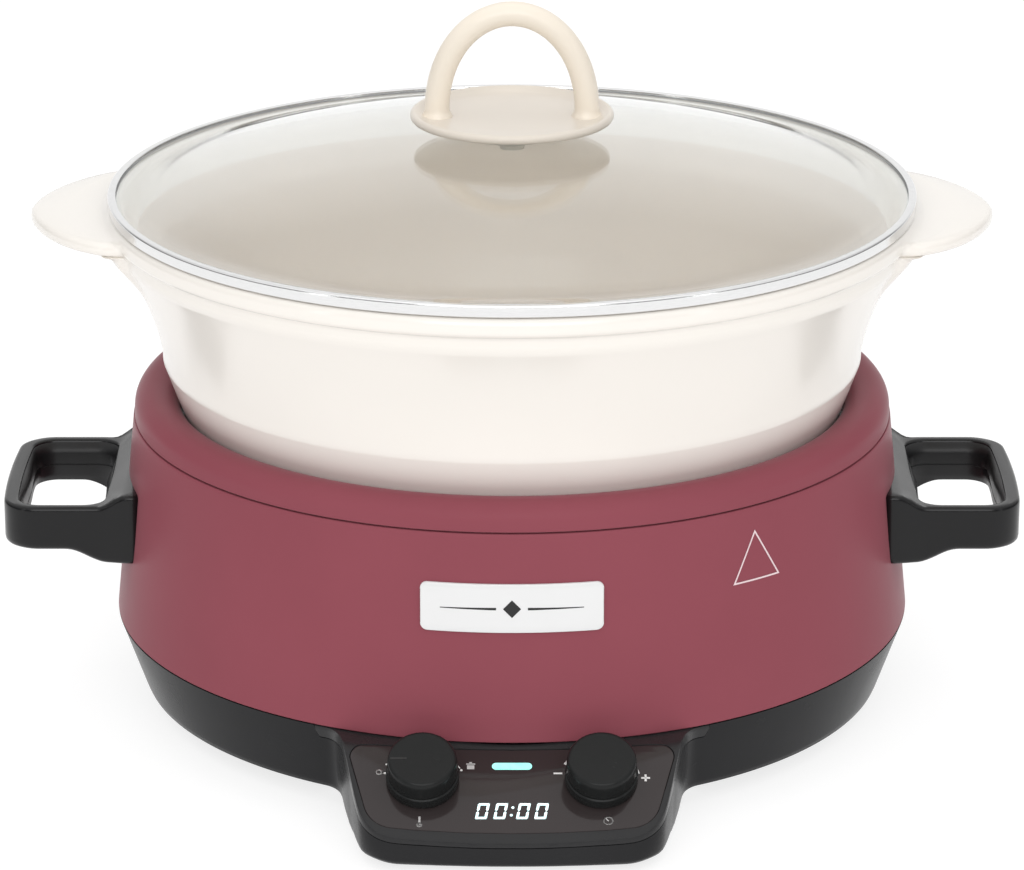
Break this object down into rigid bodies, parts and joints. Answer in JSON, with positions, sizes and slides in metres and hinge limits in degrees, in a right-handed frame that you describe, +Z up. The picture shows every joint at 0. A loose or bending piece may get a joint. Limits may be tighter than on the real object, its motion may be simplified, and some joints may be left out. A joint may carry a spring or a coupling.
{
  "type": "slow cooker",
  "caption": "Round slow cooker with a lift-out flared pot, glass lid with arch handle, loop side handles and a sloping control console with knobs and display.",
  "frame": {"origin": "centre of the bounding box's bottom face, on the table under the feet", "axes": "+Z up; -Y towards the front, where the control console is; +X to the right seen from the front. The bowl's axis is vertical at y = +0.018 m."},
  "size_m": [0.384, 0.34, 0.2687],
  "materials": {
    "black_plastic": "satin",
    "cover_plastic": "matt",
    "foot_rubber": "matt",
    "red_paint": "satin",
    "ring_plastic": "satin",
    "steel_screw": "plated",
    "well_aluminium": "spun",
    "plate_aluminium": "cast",
    "element_sheath": "oxidised",
    "shield_steel": "galvanised",
    "sensor_ceramic": "matt",
    "board_laminate": "satin",
    "relay_blue": "gloss",
    "coil_yellow": "satin",
    "terminal_white": "satin",
    "inlet_black": "matt",
    "pin_nickel": "plated",
    "panel_gloss": "high gloss",
    "mark_white": "printed",
    "lens_aqua": "lit",
    "digit_white": "lit",
    "display_black": "satin",
    "switch_metal": "plated",
    "knob_black": "satin",
    "insert_metal": "machined",
    "grip_black": "satin",
    "liner_black": "satin",
    "plate_white": "gloss",
    "motif_black": "printed",
    "side_mark_white": "printed",
    "cream_glaze": "glazed",
    "lid_glass": "clear",
    "rim_steel": "polished",
    "seal_silicone": "matt",
    "cream_plastic": "satin"
  },
  "bodies": {
    "base": {"bottom_shell": "black_plastic", "base_cover": "cover_plastic", "rubber_feet": "foot_rubber", "base_screws": "steel_screw", "wall_shell": "red_paint", "top_ring": "ring_plastic", "heating_well": "well_aluminium", "heating_plate": "plate_aluminium", "heating_element": "element_sheath", "heat_shield": "shield_steel", "temperature_sensor": "sensor_ceramic", "thermal_fuse": "sensor_ceramic", "plate_screws": "steel_screw", "power_board": "board_laminate", "power_relay": "relay_blue", "power_transformer": "coil_yellow", "board_screws": "steel_screw", "terminal_block": "terminal_white", "power_inlet": "inlet_black", "inlet_pins": "pin_nickel", "console_bezel": "black_plastic", "control_panel": "panel_gloss", "panel_marks": "mark_white", "status_lens": "lens_aqua", "display_digits": "digit_white", "display_module": "display_black", "control_board": "board_laminate", "mode_switch": "switch_metal", "timer_encoder": "switch_metal", "handle_left": "grip_black", "handle_left_liner": "liner_black", "handle_right": "grip_black", "handle_right_liner": "liner_black", "handle_screws": "steel_screw", "name_plate": "plate_white", "plate_motif": "motif_black", "side_mark": "side_mark_white"},
    "pot": {"pot": "cream_glaze"},
    "lid": {"lid_glass": "lid_glass", "lid_rim": "rim_steel", "lid_seal": "seal_silicone", "lid_washer": "steel_screw", "lid_screw": "steel_screw", "knob_plate": "cream_plastic", "arch_handle": "cream_plastic", "arch_screws": "steel_screw"},
    "mode_knob": {"mode_knob": "knob_black", "mode_knob_insert": "insert_metal"},
    "timer_knob": {"timer_knob": "knob_black", "timer_knob_insert": "insert_metal"}
  },
  "joints": [
    {"name": "pot_lift", "type": "slide", "parent": "base", "child": "pot", "axis": [0, 0, 1], "range_m": [0, 0.15]},
    {"name": "lid_lift", "type": "slide", "parent": "pot", "child": "lid", "axis": [0, 0, 1], "range_m": [0, 0.12]},
    {"name": "mode_turn", "type": "hinge", "parent": "base", "child": "mode_knob", "pos_m": [-0.0315, -0.14569, 0.02715], "axis": [0, -0.5, 0.866], "range_deg": [-180, 0]},
    {"name": "timer_turn", "type": "hinge", "parent": "base", "child": "timer_knob", "pos_m": [0.0315, -0.14569, 0.02715], "axis": [0, -0.5, 0.866], "continuous": true}
  ]
}
